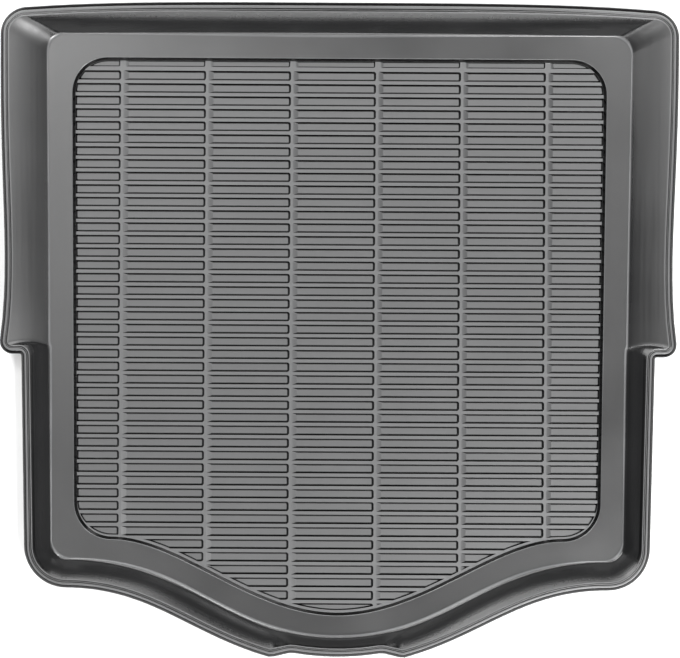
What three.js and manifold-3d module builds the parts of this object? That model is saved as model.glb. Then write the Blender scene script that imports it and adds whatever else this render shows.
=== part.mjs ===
// A car boot liner: one tray formed from a single plastic sheet. A ribbed panel lies a step below a flat
// band, a wall rises from the band all round, and the wall turns over into a lip. The rear half is wider than
// the front half, the front edge bulges to a nose, and the nose has a shallow notch between two ears.
// Units are millimetres, +Z is up, +Y is the rear edge, and the liner stands on Z = 0.

import * as THREE from 'three';
import { mergeVertices } from 'three/addons/utils/BufferGeometryUtils.js';
import Module from 'manifold-3d';

const wasm = await Module();
wasm.setup();

// Sheet and levels
const sheet = 2.5; // thickness of the sheet
const pocketDepth = 3; // pockets below the tops of the ridges
const panelDrop = 7; // ridge tops below the band
const rimHeight = 45; // top of the lip above the ground
const pocketFloor = sheet;
const ridgeTop = pocketFloor + pocketDepth;
const bandTop = ridgeTop + panelDrop;

// Plan of the ribbed panel, where its step meets the band
const panelRear = 427.1; // rear edge, from the middle of the liner
const panelHalfRear = 420.9; // half the width at the rear
const panelTaper = 6.3; // how much narrower each side is at the front
const panelShoulder = 332.1; // front edge beside the nose
const panelNose = 450.2; // tip of the nose
const panelRearCorner = 55.5;
const panelFrontCorner = 59.6;
const panelNoseBend = 135.5; // length of the nose curve's handle at the tip
const panelShoulderBend = 105.4; // and at the shoulder
const stepSlope = THREE.MathUtils.degToRad(57); // of the step around the panel

// The flat band between the panel and the wall
const bandSideRear = 38.9; // width beside the panel, at the rear
const bandSideFront = 36.3; // and at the front
const bandRear = 37.6;
const bandShoulder = 30.8;
const bandNose = 34.7;
const footCorner = 29.1;
const footNoseBend = 177;
const footShoulderBend = 194.2;
const footFillet = 5; // reach of the fillet where the wall leaves the band

// How far the wall leans out from its foot to its top
const runRear = 32;
const runUpperRear = 55.7; // beside the wide rear half, at its rear corner
const runUpperFront = 59.7; // and at the step in the side wall
const runLowerRear = 26; // beside the narrow front half, at that step
const runLowerFront = 23.3; // and at its front corner
const runShoulder = 27.8;
const runNose = 11.3; // at the notch
const wallSwell = 0.3; // how far the wall curves above a straight line, as a share of its rise
const rearCrown = 9.5; // how far the rear edge falls back towards its corners
const sideWaist = 7.4; // depth of the hollow in the wide sides, three quarters of the way forward
const waistScale = 256 / 27; // makes the deepest place of the curve s * s * s * (1 - s) one
const topRearCorner = 28.8;
const topFrontCorner = 52.3;
const topNoseBend = 122.2;
const topShoulderBend = 135.2;
const topEarLean = 34.5; // rise of the ear's edge along its handle

// The step in the side walls, where the liner narrows
const cheekY = -26.5;
const cheekOuterRadius = 6;
const cheekInnerRadius = 17;
const cheekSpread = 0.35; // how far the step fans out at the foot of the wall
const cheekBulge = 5; // how far it bulges towards the rear at half height

// The notch in the nose
const earHalf = 102.9; // from the middle to each ear
const notchHalf = 71.4; // from the middle to each inner corner
const earReach = 1.1; // ears ahead of the notch's middle
const notchReach = 6.4; // inner corners behind the notch's middle

// The lip
const lipWidth = 13.8;
const lipFlat = 8.3;
const lipShoulder = 11.3;
const lipFall = 2.4; // drop of the lip's outer shoulder
const lipDepth = 8; // drop of the lip's edge

// Pockets and ridges of the panel
const rowPitch = 19.963;
const rowCount = 43;
const firstRow = 399.7; // middle of the rear row
const pocketWidth = 13.5; // across the mouth, front to rear
const pocketWallRun = 2.2;
const columnPitch = 134;
const columnRidges = 6;
const columnShift = -7.7; // middle of the set of column ridges
const columnRidgeWidth = 4.6;
const endWallRun = 3; // steep right end of a pocket
const endRampRun = 8; // gentle left end
const stripDepth = 1.9; // of the narrow strip behind the rear row
const ledge = 0.3; // left between the pockets and the step

// Channels under the row ridges
const channelDepth = 1.2;
const channelWidth = 4;
const channelWallRun = 1.2;
const channelEnd = 6; // from the channel's end to the panel's edge

// Number of stations along each stretch of half an outline
const rearSteps = 5;
const cornerSteps = 6;
const upperSteps = 5;
const outerSteps = 3;
const innerSteps = 4;
const lowerSteps = 3;
const noseSteps = 9;
const flankShares = [0.25, 0.8]; // of the way from the ear to the notch's inner corner
const bowShares = [0.96, 0.7, 0.35, 0]; // of the way from the notch's middle to that corner
const notchSteps = flankShares.length + bowShares.length;
const stepSteps = outerSteps + 1 + innerSteps;
const noseShare = 0.76; // of the nose curve, up to the station opposite the ear
const wallShares = [0.4, 0.7, 1]; // heights of the wall's levels above its foot

const colour = 0x3b3c3e;
const clear = 1; // how far a cutter stands past the face that it cuts
const halfWay = 0.5;

const lerp = THREE.MathUtils.lerp;

// Evenly spaced shares of a stretch, without its start
function shares(count) {
  return Array.from({ length: count }, (unused, i) => (i + 1) / count);
}

// Points of an arc, without its start
function arc(centre, radius, from, to, count) {
  return shares(count).map((s) => {
    const angle = THREE.MathUtils.degToRad(lerp(from, to, s));
    return [centre[0] + radius * Math.cos(angle), centre[1] + radius * Math.sin(angle)];
  });
}

// Points of a cubic curve from its share start to its share end, without the first
function cubic(points, start, end, count) {
  const curve = new THREE.CubicBezierCurve(...points.map((p) => new THREE.Vector2(...p)));
  return shares(count).map((s) => curve.getPoint(lerp(start, end, s)).toArray());
}

// Half of an outline without step or notch, from the middle of the rear edge round the +X side to the nose
function plainHalf(plan) {
  const { rear, halfRear, halfFront, shoulder, nose, rearCorner, frontCorner, noseBend, shoulderBend } = plan;
  const sideTop = rear - rearCorner;
  const sideEnd = -shoulder + frontCorner;
  const sideX = (y) => lerp(halfFront, halfRear, (y - sideEnd) / (sideTop - sideEnd));
  const stepTop = cheekY + cheekOuterRadius;
  const stepEnd = cheekY - cheekInnerRadius;
  const even = shares(stepSteps).map((s) => lerp(stepTop, stepEnd, s));
  const stepYs = stepStations().map(([, y], i) => lerp(y, even[i], cheekSpread));
  const flat = [halfFront - frontCorner, -shoulder];
  const curve = [flat, [flat[0] - shoulderBend, -shoulder], [noseBend, -nose], [0, -nose]];
  return [
    [0, rear],
    ...shares(rearSteps).map((s) => [s * (halfRear - rearCorner), rear]),
    ...arc([halfRear - rearCorner, sideTop], rearCorner, 90, 0, cornerSteps),
    ...shares(upperSteps).map((s) => lerp(sideTop, stepTop, s)).map((y) => [sideX(y), y]),
    ...stepYs.map((y) => [sideX(y), y]),
    ...shares(lowerSteps).map((s) => lerp(stepEnd, sideEnd, s)).map((y) => [sideX(y), y]),
    ...arc([halfFront - frontCorner, sideEnd], frontCorner, 0, -90, cornerSteps),
    ...cubic(curve, 0, noseShare, noseSteps),
    ...cubic(curve, noseShare, 1, notchSteps),
  ];
}

// The side step of the wall's top edge: a round shoulder, a straight cheek and a hollow
function stepStations(upper = 0, lower = 0) {
  const outerMiddle = [upper - cheekOuterRadius, cheekY + cheekOuterRadius];
  const innerMiddle = [lower + cheekInnerRadius, cheekY - cheekInnerRadius];
  const outer = arc(outerMiddle, cheekOuterRadius, 0, -90, outerSteps);
  const inner = arc(innerMiddle, cheekInnerRadius, 90, 180, innerSteps);
  return [...outer, [innerMiddle[0], cheekY], ...inner];
}

const panelPlan = {
  rear: panelRear,
  halfRear: panelHalfRear,
  halfFront: panelHalfRear - panelTaper,
  shoulder: panelShoulder,
  nose: panelNose,
  rearCorner: panelRearCorner,
  frontCorner: panelFrontCorner,
  noseBend: panelNoseBend,
  shoulderBend: panelShoulderBend,
};

const footPlan = {
  rear: panelPlan.rear + bandRear,
  halfRear: panelPlan.halfRear + bandSideRear,
  halfFront: panelPlan.halfFront + bandSideFront,
  shoulder: panelPlan.shoulder + bandShoulder,
  nose: panelPlan.nose + bandNose,
  rearCorner: footCorner,
  frontCorner: footCorner,
  noseBend: footNoseBend,
  shoulderBend: footShoulderBend,
};

// Half of the wall's top edge, with the waist, the side step, the ears and the notch
function topHalf() {
  const rear = footPlan.rear + runRear;
  const rearEnd = rear - rearCrown;
  const upper = footPlan.halfRear + runUpperRear;
  const shoulder = -footPlan.shoulder - runShoulder;
  const footLength = footPlan.rear + footPlan.shoulder;
  const footSideAt = (y) => lerp(footPlan.halfFront, footPlan.halfRear, (y + footPlan.shoulder) / footLength);
  const stepTop = cheekY + cheekOuterRadius;
  const stepEnd = cheekY - cheekInnerRadius;
  const sideTop = rearEnd - topRearCorner;
  const sideEnd = shoulder + topFrontCorner;
  const upperEnd = footSideAt(stepTop) + runUpperFront;
  const lowerTop = footSideAt(stepEnd) + runLowerRear;
  const lowerEnd = footSideAt(sideEnd) + runLowerFront;
  const rearX = upper - topRearCorner;
  const flat = [lowerEnd - topFrontCorner, shoulder];
  const middle = -footPlan.nose - runNose;
  const ear = [earHalf, middle - earReach];
  const corner = [notchHalf, middle + notchReach];
  const handles = [
    [flat[0] - topShoulderBend, flat[1]],
    [ear[0] + topNoseBend, ear[1] + topEarLean],
  ];
  const waist = (s) => sideWaist * waistScale * s ** 3 * (1 - s);
  return [
    [0, rear],
    ...shares(rearSteps).map((s) => [s * rearX, rear - rearCrown * s ** 4]),
    ...arc([rearX, sideTop], topRearCorner, 90, 0, cornerSteps),
    ...shares(upperSteps).map((s) => [lerp(upper, upperEnd, s) - waist(s), lerp(sideTop, stepTop, s)]),
    ...stepStations(upperEnd, lowerTop),
    ...shares(lowerSteps).map((s) => [lerp(lowerTop, lowerEnd, s), lerp(stepEnd, sideEnd, s)]),
    ...arc([flat[0], sideEnd], topFrontCorner, 0, -90, cornerSteps),
    ...cubic([flat, ...handles, ear], 0, 1, noseSteps),
    ...notchStations(ear, corner, middle),
  ];
}

// From the ear to the middle of the notch: a straight flank, then a shallow bow
function notchStations(ear, corner, middle) {
  const flank = flankShares.map((s) => [lerp(ear[0], corner[0], s), lerp(ear[1], corner[1], s)]);
  const bow = bowShares.map((s) => [s * corner[0], middle + (corner[1] - middle) * s * s]);
  return [...flank, ...bow];
}

// A closed outline from its half, clockwise seen from above
function wholeOutline(half) {
  const left = half.slice(1, -1).reverse().map(([x, y]) => [-x, y]);
  return [...half, ...left];
}

// Outward directions at the points of a clockwise outline
function outwards(outline) {
  const count = outline.length;
  return outline.map((point, i) => {
    const before = outline[(i + count - 1) % count];
    const after = outline[(i + 1) % count];
    const along = new THREE.Vector2(after[0] - before[0], after[1] - before[1]).normalize();
    return [-along.y, along.x];
  });
}

function moved(outline, directions, distance) {
  return outline.map(([x, y], i) => [x + directions[i][0] * distance, y + directions[i][1] * distance]);
}

function between(a, b, share) {
  return a.map(([x, y], i) => [lerp(x, b[i][0], share), lerp(y, b[i][1], share)]);
}

// A level of the tray: where its points lie, how high, and which way is out
function level(outline, height, directions) {
  return outline.map(([x, y], i) => ({ x, y, z: height, out: directions[i] }));
}

const panelEdge = wholeOutline(plainHalf(panelPlan));
const footEdge = wholeOutline(plainHalf(footPlan));
const topEdge = wholeOutline(topHalf());
const panelOut = outwards(panelEdge);
const footOut = outwards(footEdge);
const topOut = outwards(topEdge);

// The panel's outline at a height on its step, with a gap to it
function stepOutline(height, gap = 0) {
  return moved(panelEdge, panelOut, -(bandTop - height) / Math.tan(stepSlope) - gap);
}

// Whether a station lies on either side's step
function isCheek(station) {
  const fromRear = Math.min(station, topEdge.length - station);
  const start = rearSteps + cornerSteps + upperSteps;
  return fromRear >= start && fromRear <= start + stepSteps;
}

// The wall from its foot, at share 0, to its top, at share 1
function wallLevel(share) {
  const hump = share * (1 - share);
  const rise = share + wallSwell * hump;
  const shift = 4 * cheekBulge * hump;
  const line = between(footEdge, topEdge, share).map(([x, y], i) => [x, isCheek(i) ? y + shift : y]);
  const directions = share < halfWay ? footOut : topOut;
  return level(line, lerp(bandTop, rimHeight, rise), directions);
}

// The fillet at the wall's foot: its start on the band, its middle and its end on the wall
function filletLevels() {
  const start = level(moved(footEdge, footOut, -footFillet), bandTop, footOut);
  const wall = footEdge.map((foot, i) => {
    const run = Math.hypot(topEdge[i][0] - foot[0], topEdge[i][1] - foot[1]);
    const slope = Math.atan2((rimHeight - bandTop) * (1 + wallSwell), run);
    return footFillet * Math.cos(slope) / run;
  });
  const end = footEdge.map((foot, i) => wallLevel(wall[i])[i]);
  const middle = footEdge.map((foot, i) => ({
    x: (start[i].x + 2 * foot[0] + end[i].x) / 4,
    y: (start[i].y + 2 * foot[1] + end[i].y) / 4,
    z: (start[i].z + 2 * bandTop + end[i].z) / 4,
    out: footOut[i],
  }));
  return [start, middle, end];
}

function lipLevel(reach, fall) {
  return level(moved(topEdge, topOut, reach), rimHeight - fall, topOut);
}

const skin = [
  level(stepOutline(pocketFloor), pocketFloor, panelOut),
  level(panelEdge, bandTop, panelOut),
  ...filletLevels(),
  ...wallShares.map(wallLevel),
  lipLevel(lipFlat, 0),
  lipLevel(lipShoulder, lipFall),
  lipLevel(lipWidth, lipDepth),
];

// The back of the sheet, one thickness behind the skin, worked out station by station
function backOf(levels) {
  const count = levels[0].length;
  const back = levels.map(() => []);
  for (let i = 0; i < count; i += 1) {
    const normals = levels.slice(1).map((ring, j) => {
      const run = Math.hypot(ring[i].x - levels[j][i].x, ring[i].y - levels[j][i].y);
      return new THREE.Vector2(ring[i].z - levels[j][i].z, -run).normalize();
    });
    levels.forEach((ring, j) => {
      const before = j === 0 ? new THREE.Vector2(0, -1) : normals[j - 1];
      const after = j === normals.length ? before : normals[j];
      const shift = before.clone().add(after).multiplyScalar(sheet / (1 + before.dot(after)));
      const { x, y, z, out } = ring[i];
      back[j].push({ x: x + out[0] * shift.x, y: y + out[1] * shift.x, z: z + shift.y, out });
    });
  }
  return back;
}

// A solid from rings of points that run from its flat top round its outside to its flat bottom
function solidFromRings(rings) {
  const count = rings[0].length;
  const last = (rings.length - 1) * count;
  const topMiddle = rings.length * count;
  const bottomMiddle = topMiddle + 1;
  const middles = [rings[0], rings.at(-1)].map((ring) => ({ x: 0, y: 0, z: ring[0].z }));
  const positions = [...rings.flat(), ...middles].flatMap(({ x, y, z }) => [x, y, z]);
  const triangles = [];
  for (let j = 0; j < rings.length - 1; j += 1) {
    for (let i = 0; i < count; i += 1) {
      const a = j * count + i;
      const b = j * count + (i + 1) % count;
      triangles.push(a, b, b + count, a, b + count, a + count);
    }
  }
  for (let i = 0; i < count; i += 1) {
    const next = (i + 1) % count;
    triangles.push(topMiddle, next, i, bottomMiddle, last + i, last + next);
  }
  return solid(positions, triangles);
}

function solid(positions, triangles) {
  return new wasm.Manifold(new wasm.Mesh({
    numProp: 3,
    vertProperties: new Float32Array(positions),
    triVerts: new Uint32Array(triangles),
  }));
}

// Corners and triangles of a block whose four sides may lean, for a list of blocks
function blocks(list) {
  const positions = [];
  const triangles = [];
  const caps = [4, 5, 6, 4, 6, 7, 0, 2, 1, 0, 3, 2];
  const sides = [0, 1, 5, 0, 5, 4, 1, 2, 6, 1, 6, 5, 2, 3, 7, 2, 7, 6, 3, 0, 4, 3, 4, 7];
  for (const { low, high, lowZ, highZ } of list) {
    const first = positions.length / 3;
    for (const [{ left, right, front, rear }, z] of [[low, lowZ], [high, highZ]]) {
      positions.push(left, front, z, right, front, z, right, rear, z, left, rear, z);
    }
    triangles.push(...[...caps, ...sides].map((corner) => first + corner));
  }
  return solid(positions, triangles);
}

function slab(outline, height) {
  return outline.map(([x, y]) => ({ x, y, z: height }));
}

// Left and right ends of the pockets in one row, where they meet the tops of the ridges
function pocketEnds() {
  const firstRidge = columnShift - (columnRidges - 1) / 2 * columnPitch;
  const ridges = Array.from({ length: columnRidges }, (unused, c) => firstRidge + c * columnPitch);
  const outside = panelHalfRear + columnPitch;
  const lefts = [-outside, ...ridges.map((x) => x + columnRidgeWidth / 2)];
  const rights = [...ridges.map((x) => x - columnRidgeWidth / 2), outside];
  return lefts.map((left, c) => [left, rights[c]]);
}

// One pocket: steep front, rear and right walls, and a gentle left end
function pocket(left, right, y, depth) {
  const above = clear / pocketDepth;
  const below = depth / pocketDepth;
  const side = (share) => ({
    left: left + endRampRun * share,
    right: right - endWallRun * share,
    front: y - pocketWidth / 2 + pocketWallRun * share,
    rear: y + pocketWidth / 2 - pocketWallRun * share,
  });
  return { low: side(below), high: side(-above), lowZ: ridgeTop - depth, highZ: ridgeTop + clear };
}

function pocketCutter() {
  const list = [];
  for (let row = -1; row < rowCount; row += 1) {
    const depth = row < 0 ? stripDepth : pocketDepth;
    for (const [left, right] of pocketEnds()) {
      list.push(pocket(left, right, firstRow - row * rowPitch, depth));
    }
  }
  const area = [ridgeTop + 2 * clear, pocketFloor - clear].map((z) => slab(stepOutline(z, ledge), z));
  return blocks(list).intersect(solidFromRings(area));
}

function channelCutter() {
  const reach = panelHalfRear + columnPitch;
  const side = (y, half) => ({ left: -reach, right: reach, front: y - half, rear: y + half });
  const flare = channelWallRun * clear / channelDepth;
  const list = Array.from({ length: rowCount }, (unused, row) => {
    const y = firstRow - (row - 0.5) * rowPitch;
    return {
      low: side(y, channelWidth / 2 + channelWallRun + flare),
      high: side(y, channelWidth / 2),
      lowZ: -clear,
      highZ: channelDepth,
    };
  });
  const edge = stepOutline(pocketFloor, channelEnd);
  const area = [channelDepth + clear, -2 * clear].map((z) => slab(edge, z));
  return blocks(list).intersect(solidFromRings(area));
}

// The tray: its skin from the panel's ridge tops out to the lip, and its back from the lip in to the ground
function liner() {
  const top = [level(stepOutline(ridgeTop), ridgeTop, panelOut), ...skin.slice(1)];
  const tray = solidFromRings([...top, ...backOf(skin).reverse()]);
  return tray.subtract(pocketCutter()).subtract(channelCutter());
}

function geometryOf(manifold) {
  const { vertProperties, triVerts } = manifold.getMesh();
  const geometry = new THREE.BufferGeometry();
  geometry.setAttribute('position', new THREE.BufferAttribute(vertProperties, 3));
  geometry.setIndex(new THREE.BufferAttribute(triVerts, 1));
  return mergeVertices(geometry);
}

// The middle of the liner's length goes to Y = 0
function centred(geometry) {
  geometry.computeBoundingBox();
  const middle = geometry.boundingBox.getCenter(new THREE.Vector3());
  return geometry.translate(-middle.x, -middle.y, 0);
}

const material = new THREE.MeshStandardMaterial({ color: colour, roughness: 0.5, metalness: 0 });
const mesh = new THREE.Mesh(centred(geometryOf(liner())), material);
mesh.name = 'liner';

const bootLiner = new THREE.Group();
bootLiner.add(mesh);

export default bootLiner;
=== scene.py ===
# %% [markdown]
# A car boot liner, built round its imported CAD part. The CAD part is one solid: a tray with a recessed
# ribbed panel, a flat band, sloping walls and a turned lip. It holds the true sizes, and this lesson
# makes the same tray again with rounded bends, moulded pockets and a grained black plastic, seen from
# straight above on a white floor. First the frame is loaded.

# %% Load the frame
import math

import bpy
import numpy as np
from mathutils import Matrix, Vector


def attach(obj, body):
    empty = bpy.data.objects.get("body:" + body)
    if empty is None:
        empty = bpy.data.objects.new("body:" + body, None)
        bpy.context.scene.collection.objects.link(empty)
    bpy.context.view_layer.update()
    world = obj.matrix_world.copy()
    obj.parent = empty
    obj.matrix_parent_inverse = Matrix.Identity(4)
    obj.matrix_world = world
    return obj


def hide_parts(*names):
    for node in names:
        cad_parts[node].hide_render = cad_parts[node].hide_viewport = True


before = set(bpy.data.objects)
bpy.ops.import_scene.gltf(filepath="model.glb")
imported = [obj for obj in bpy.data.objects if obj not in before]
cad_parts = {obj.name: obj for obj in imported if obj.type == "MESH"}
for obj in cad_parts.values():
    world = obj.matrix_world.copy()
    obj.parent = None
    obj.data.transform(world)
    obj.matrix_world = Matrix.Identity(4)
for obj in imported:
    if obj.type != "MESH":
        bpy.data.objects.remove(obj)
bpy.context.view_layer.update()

# %% [markdown]
# The camera comes first. The real tray was seen from about three metres straight above, so its walls
# barely open outwards in the picture. A long lens from the same height gives that view. The camera is
# turned by a third of a degree, because the real tray didn't lie quite square to it.

# %% Camera
PICTURE_WIDTH = 680  # pixels
PIXEL = 0.00158  # metres of floor for each pixel
CAMERA_HEIGHT = 3.0  # metres above the floor
CAMERA_SHIFT = (0.0027, 0.0014)  # metres from the tray's middle
CAMERA_TURN = math.radians(0.33)


def make_camera():
    data = bpy.data.cameras.new("overhead_camera")
    data.sensor_width = 36
    data.lens = data.sensor_width * CAMERA_HEIGHT / (PICTURE_WIDTH * PIXEL)
    camera = bpy.data.objects.new("overhead_camera", data)
    camera.location = (*CAMERA_SHIFT, CAMERA_HEIGHT)
    camera.rotation_euler = (0, 0, CAMERA_TURN)
    bpy.context.scene.collection.objects.link(camera)
    bpy.context.scene.camera = camera
    print("lens:", round(data.lens, 1), "mm")


make_camera()

# %% [markdown]
# The tray follows three outlines: the step round the ribbed panel, the foot of the wall, and the wall's
# top edge. They could be drawn as curve objects, but plain functions are easier to keep in step with the
# CAD sizes. Each half outline runs from the middle of the rear edge round the right side to the nose, and
# is then mirrored. All of them have the same number of points, so that a wall can be stretched from one
# to the next.

# %% Outline helpers, which work in millimetres
MM = 0.001


def shares(count):
    """Even shares of a way, from the first step to the whole."""
    return np.arange(1, count + 1) / count


def mix(a, b, share):
    return a + (b - a) * share


def arc(middle, radius, start, end, count):
    turn = np.radians(mix(start, end, shares(count)))
    return np.stack([middle[0] + radius * np.cos(turn), middle[1] + radius * np.sin(turn)], axis=1)


def straight(a, b, count):
    return mix(np.array(a, float), np.array(b, float), shares(count)[:, None])


def cubic(points, start, end, count):
    a, b, c, d = (np.array(p, float) for p in points)
    t = mix(start, end, shares(count))[:, None]
    return a * (1 - t) ** 3 + 3 * b * t * (1 - t) ** 2 + 3 * c * t**2 * (1 - t) + d * t**3


def mirrored(half):
    left = half[1:-1][::-1] * [-1, 1]
    return np.concatenate([half, left])


def outwards(outline):
    """The level direction out of the tray at each point of an outline."""
    way = np.roll(outline, -1, axis=0) - np.roll(outline, 1, axis=0)
    way /= np.linalg.norm(way, axis=1)[:, None]
    return np.stack([-way[:, 1], way[:, 0]], axis=1)


print("a quarter circle of radius 10 ends at", arc((0, 0), 10, 90, 0, 4)[-1].round(3))

# %% [markdown]
# The panel's step and the wall's foot have one plan: a straight rear, straight sides and a bowed nose. A
# share of the side's points gathers where the cheeks are, because the wall above turns sharply inwards
# there.

# %% Outlines of the panel's step and of the wall's foot
STEPS = dict(rear=14, corner=14, upper=14, outer=8, inner=10, lower=10, nose=34, notch=18)  # points
CHEEK_Y, CHEEK_OUTER, CHEEK_INNER, CHEEK_SPREAD, CHEEK_BULGE = -26.5, 6, 17, 0.35, 5
CHEEK_TOP, CHEEK_END = CHEEK_Y + CHEEK_OUTER, CHEEK_Y - CHEEK_INNER
NOSE_SHARE = 0.76  # of the nose curve, up to the point opposite the ear

PANEL = dict(rear=427.1, half_rear=420.9, half_front=414.6, shoulder=332.1, nose=450.2,
             rear_corner=55.5, front_corner=59.6, nose_bend=135.5, shoulder_bend=105.4)
FOOT = dict(rear=464.7, half_rear=459.8, half_front=450.9, shoulder=362.9, nose=484.9,
            rear_corner=29.1, front_corner=29.1, nose_bend=177, shoulder_bend=194.2)


def cheek(upper=0, lower=0):
    """The turn inwards, from the x of the wide rear part's side to that of the narrow front part's."""
    inner_middle = (lower + CHEEK_INNER, CHEEK_END)
    outer = arc((upper - CHEEK_OUTER, CHEEK_TOP), CHEEK_OUTER, 0, -90, STEPS["outer"])
    inner = arc(inner_middle, CHEEK_INNER, 90, 180, STEPS["inner"])
    return np.concatenate([outer, [[inner_middle[0], CHEEK_Y]], inner])


def plain_outline(p):
    side_top = p["rear"] - p["rear_corner"]
    side_end = -p["shoulder"] + p["front_corner"]
    rear_x = p["half_rear"] - p["rear_corner"]
    flat = (p["half_front"] - p["front_corner"], -p["shoulder"])
    curve = [flat, (flat[0] - p["shoulder_bend"], flat[1]), (p["nose_bend"], -p["nose"]), (0, -p["nose"])]

    def on_side(y):
        x = mix(p["half_front"], p["half_rear"], (y - side_end) / (side_top - side_end))
        return np.stack([x, y], axis=1)

    cheek_y = cheek()[:, 1]
    even_y = mix(CHEEK_TOP, CHEEK_END, shares(len(cheek_y)))
    return mirrored(np.concatenate([
        [[0, p["rear"]]],
        straight((0, p["rear"]), (rear_x, p["rear"]), STEPS["rear"]),
        arc((rear_x, side_top), p["rear_corner"], 90, 0, STEPS["corner"]),
        on_side(mix(side_top, CHEEK_TOP, shares(STEPS["upper"]))),
        on_side(mix(cheek_y, even_y, CHEEK_SPREAD)),
        on_side(mix(CHEEK_END, side_end, shares(STEPS["lower"]))),
        arc((flat[0], side_end), p["front_corner"], 0, -90, STEPS["corner"]),
        cubic(curve, 0, NOSE_SHARE, STEPS["nose"]),
        cubic(curve, NOSE_SHARE, 1, STEPS["notch"]),
    ]))


panel_edge, foot_edge = plain_outline(PANEL), plain_outline(FOOT)
print("points in the panel's step and in the wall's foot:", len(panel_edge), len(foot_edge))

# %% [markdown]
# The wall's top edge is livelier. Its rear is a little crowned, its sides are a little hollow, it steps
# in at the cheeks, and at the nose two ears stand beside a shallow notch.

# %% Sizes of the wall's top edge, as runs outwards from the foot
TOP = dict(run_rear=32, run_upper_rear=55.7, run_upper_front=59.7, run_lower_rear=26, run_lower_front=23.3,
           run_shoulder=27.8, run_nose=11.3, crown=9.5, waist=7.4, rear_corner=28.8, front_corner=52.3,
           nose_bend=122.2, shoulder_bend=135.2, ear_lean=34.5)
EAR_HALF, NOTCH_HALF, EAR_REACH, NOTCH_REACH = 102.9, 71.4, 1.1, 6.4
EAR_BEND, NOTCH_BEND, BOW_START = 0.3, 0.28, 0.86  # shares of the flank, and of the bow


def foot_side(y):
    length = FOOT["rear"] + FOOT["shoulder"]
    return mix(FOOT["half_front"], FOOT["half_rear"], (y + FOOT["shoulder"]) / length)


def crowned_rear(half, rear):
    s = shares(STEPS["rear"])
    return np.stack([s * half, rear - TOP["crown"] * s**4], axis=1)


def hollow_side(upper, upper_end, side_top):
    """The side behind the cheek, deepest at three quarters of the way, where the formula comes to one."""
    s = shares(STEPS["upper"])
    hollow = TOP["waist"] * s**3 * (1 - s) * 256 / 27
    return np.stack([mix(upper, upper_end, s) - hollow, mix(side_top, CHEEK_TOP, s)], axis=1)


# %% Nose, ears and notch
def notch(ear, corner, middle):
    """From an ear down its straight flank and along the shallow bow to the middle, with round bends."""
    flank_a, flank_b = mix(ear, corner, EAR_BEND), mix(ear, corner, 1 - NOTCH_BEND)
    s = np.linspace(BOW_START, 0, 7)[:, None]
    bow = np.concatenate([s * corner[0], middle + (corner[1] - middle) * s * s], axis=1)
    t = shares(4)[:, None]
    ear_bend = ear * (1 - t) ** 2 + 2 * mix(ear, flank_a, 0.4) * t * (1 - t) + flank_a * t**2
    t = shares(6)[:, None]
    inner_bend = flank_b * (1 - t) ** 2 + 2 * corner * t * (1 - t) + bow[0] * t**2
    flank = straight(flank_a, flank_b, STEPS["notch"] - len(ear_bend) - len(inner_bend) - len(bow) + 1)
    return np.concatenate([ear_bend, flank, inner_bend, bow[1:]])


def nose_front(flat):
    """From the end of the front corner along the bowed shoulder to the ear, and on through the notch."""
    middle = -FOOT["nose"] - TOP["run_nose"]
    ear, corner = np.array([EAR_HALF, middle - EAR_REACH]), np.array([NOTCH_HALF, middle + NOTCH_REACH])
    shoulder_pull = (flat[0] - TOP["shoulder_bend"], flat[1])
    ear_pull = (ear[0] + TOP["nose_bend"], ear[1] + TOP["ear_lean"])
    shoulder = cubic([flat, shoulder_pull, ear_pull, ear], 0, 1, STEPS["nose"])
    return np.concatenate([shoulder, notch(ear, corner, middle)])


# %% The whole top edge, and the directions out of all three outlines
def top_outline():
    p = TOP
    rear, shoulder = FOOT["rear"] + p["run_rear"], -FOOT["shoulder"] - p["run_shoulder"]
    side_top, side_end = rear - p["crown"] - p["rear_corner"], shoulder + p["front_corner"]
    upper = FOOT["half_rear"] + p["run_upper_rear"]
    upper_end = foot_side(CHEEK_TOP) + p["run_upper_front"]
    lower_top = foot_side(CHEEK_END) + p["run_lower_rear"]
    lower_end = foot_side(side_end) + p["run_lower_front"]
    rear_x, flat = upper - p["rear_corner"], (lower_end - p["front_corner"], shoulder)
    return mirrored(np.concatenate([
        [[0, rear]],
        crowned_rear(rear_x, rear),
        arc((rear_x, side_top), p["rear_corner"], 90, 0, STEPS["corner"]),
        hollow_side(upper, upper_end, side_top),
        cheek(upper_end, lower_top),
        straight((lower_top, CHEEK_END), (lower_end, side_end), STEPS["lower"]),
        arc((flat[0], side_end), p["front_corner"], 0, -90, STEPS["corner"]),
        nose_front(flat),
    ]))


top_edge = top_outline()
panel_out, foot_out, top_out = outwards(panel_edge), outwards(foot_edge), outwards(top_edge)
print("points in the top edge:", len(top_edge))

# %% [markdown]
# The shell is lofted: rings of points run from the ribbed panel out to the lip and back underneath. A
# real tray is drawn from one hot sheet, so every bend in it is round. A Bevel modifier could round the
# bends, but it would treat them all alike. Here each bend gets its own reach: the key rings are written
# down first, and each key ring is then replaced by a few rings on a small curve.

# %% Levels and the rings of the panel's step, in mm
SHEET = 2.5
FLOOR_Z, RIDGE_Z, BAND_Z, RIM_Z = 2.5, 6.2, 12.5, 45.0
STEP_SLOPE = math.radians(53)
MOVE_Y = 0.119  # from the outlines' own middle to the middle of the tray's length


def ring(outline, z):
    return np.column_stack([outline, np.broadcast_to(z, len(outline))])


def step_ring(z, gap=0):
    """The panel's outline at a height on its sloping step, or at a gap further in."""
    run = (BAND_Z - z) / math.tan(STEP_SLOPE) + np.broadcast_to(gap, len(panel_edge))
    return ring(panel_edge - panel_out * run[:, None], z)


print("run of the panel's step:", round((BAND_Z - FLOOR_Z) / math.tan(STEP_SLOPE), 2), "mm")

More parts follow.
